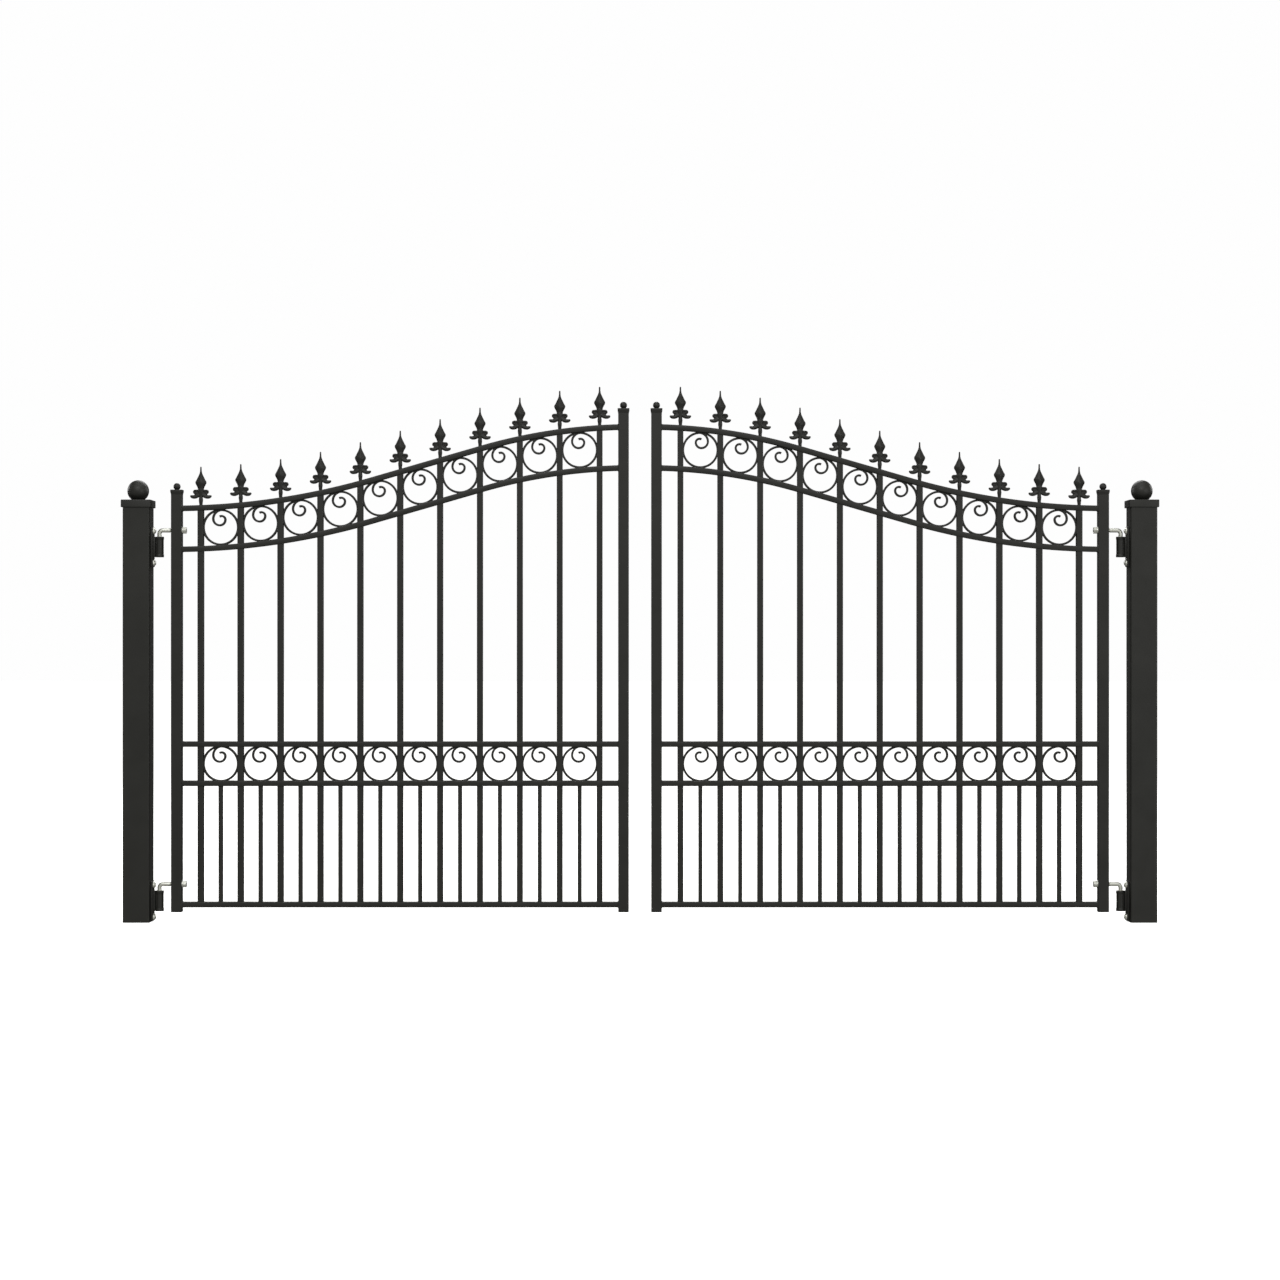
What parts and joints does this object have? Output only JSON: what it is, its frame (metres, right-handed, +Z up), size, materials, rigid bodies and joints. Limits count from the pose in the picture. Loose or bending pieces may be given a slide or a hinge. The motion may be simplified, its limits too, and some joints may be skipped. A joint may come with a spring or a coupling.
{
  "type": "garden gate",
  "caption": "Double swing driveway gate with arched top, spear finials and scroll rings, hung on J-bolt hinges between two square posts.",
  "frame": {"origin": "on the ground, midway between the two posts, in the middle of the gate's thickness", "axes": "+X along the gate from the left post to the right post, -Y out of the front, +Z up"},
  "size_m": [3.888, 0.112, 2.0116],
  "materials": {
    "black_steel": "satin black powder coat",
    "black_casting": "satin black powder coat over cast iron",
    "zinc_plated_steel": "bright zinc plating with a faint yellow cast",
    "nylon": "natural nylon",
    "black_plastic": "moulded polyethylene"
  },
  "bodies": {
    "posts": {"left_hinge_barrels": "black_steel", "left_hinge_bushes": "nylon", "left_hinge_plates": "black_steel", "left_hinge_thrust_pads": "nylon", "left_plate_bolts": "zinc_plated_steel", "left_post": "black_steel", "left_post_ball": "black_casting", "left_post_cap": "black_casting", "left_post_inserts": "zinc_plated_steel", "right_hinge_barrels": "black_steel", "right_hinge_bushes": "nylon", "right_hinge_plates": "black_steel", "right_hinge_thrust_pads": "nylon", "right_plate_bolts": "zinc_plated_steel", "right_post": "black_steel", "right_post_ball": "black_casting", "right_post_cap": "black_casting", "right_post_inserts": "zinc_plated_steel"},
    "left_leaf": {"left_leaf_arch_rail": "black_steel", "left_leaf_arch_scrolls": "black_steel", "left_leaf_bottom_rail": "black_steel", "left_leaf_finials": "black_casting", "left_leaf_hinge_stile": "black_steel", "left_leaf_lower_j_bolt": "zinc_plated_steel", "left_leaf_lower_mid_rail": "black_steel", "left_leaf_meeting_stile": "black_steel", "left_leaf_mid_scrolls": "black_steel", "left_leaf_pickets": "black_steel", "left_leaf_rod_lock_nuts": "zinc_plated_steel", "left_leaf_rod_sleeves": "black_steel", "left_leaf_rod_washers": "zinc_plated_steel", "left_leaf_stile_balls": "black_casting", "left_leaf_stile_caps": "black_casting", "left_leaf_stile_foot_plugs": "black_plastic", "left_leaf_thin_pickets": "black_steel", "left_leaf_top_rail": "black_steel", "left_leaf_upper_j_bolt": "zinc_plated_steel", "left_leaf_upper_mid_rail": "black_steel"},
    "right_leaf": {"right_leaf_arch_rail": "black_steel", "right_leaf_arch_scrolls": "black_steel", "right_leaf_bottom_rail": "black_steel", "right_leaf_finials": "black_casting", "right_leaf_hinge_stile": "black_steel", "right_leaf_lower_j_bolt": "zinc_plated_steel", "right_leaf_lower_mid_rail": "black_steel", "right_leaf_meeting_stile": "black_steel", "right_leaf_mid_scrolls": "black_steel", "right_leaf_pickets": "black_steel", "right_leaf_rod_lock_nuts": "zinc_plated_steel", "right_leaf_rod_sleeves": "black_steel", "right_leaf_rod_washers": "zinc_plated_steel", "right_leaf_stile_balls": "black_casting", "right_leaf_stile_caps": "black_casting", "right_leaf_stile_foot_plugs": "black_plastic", "right_leaf_thin_pickets": "black_steel", "right_leaf_top_rail": "black_steel", "right_leaf_upper_j_bolt": "zinc_plated_steel", "right_leaf_upper_mid_rail": "black_steel"}
  },
  "joints": [
    {"name": "left_leaf_swing", "type": "hinge", "parent": "posts", "child": "left_leaf", "pos_m": [-1.808, 0, 0], "axis": [0, 0, 1], "range_deg": [-90, 90]},
    {"name": "right_leaf_swing", "type": "hinge", "parent": "posts", "child": "right_leaf", "pos_m": [1.808, 0, 0], "axis": [0, 0, -1], "range_deg": [-90, 90]}
  ]
}
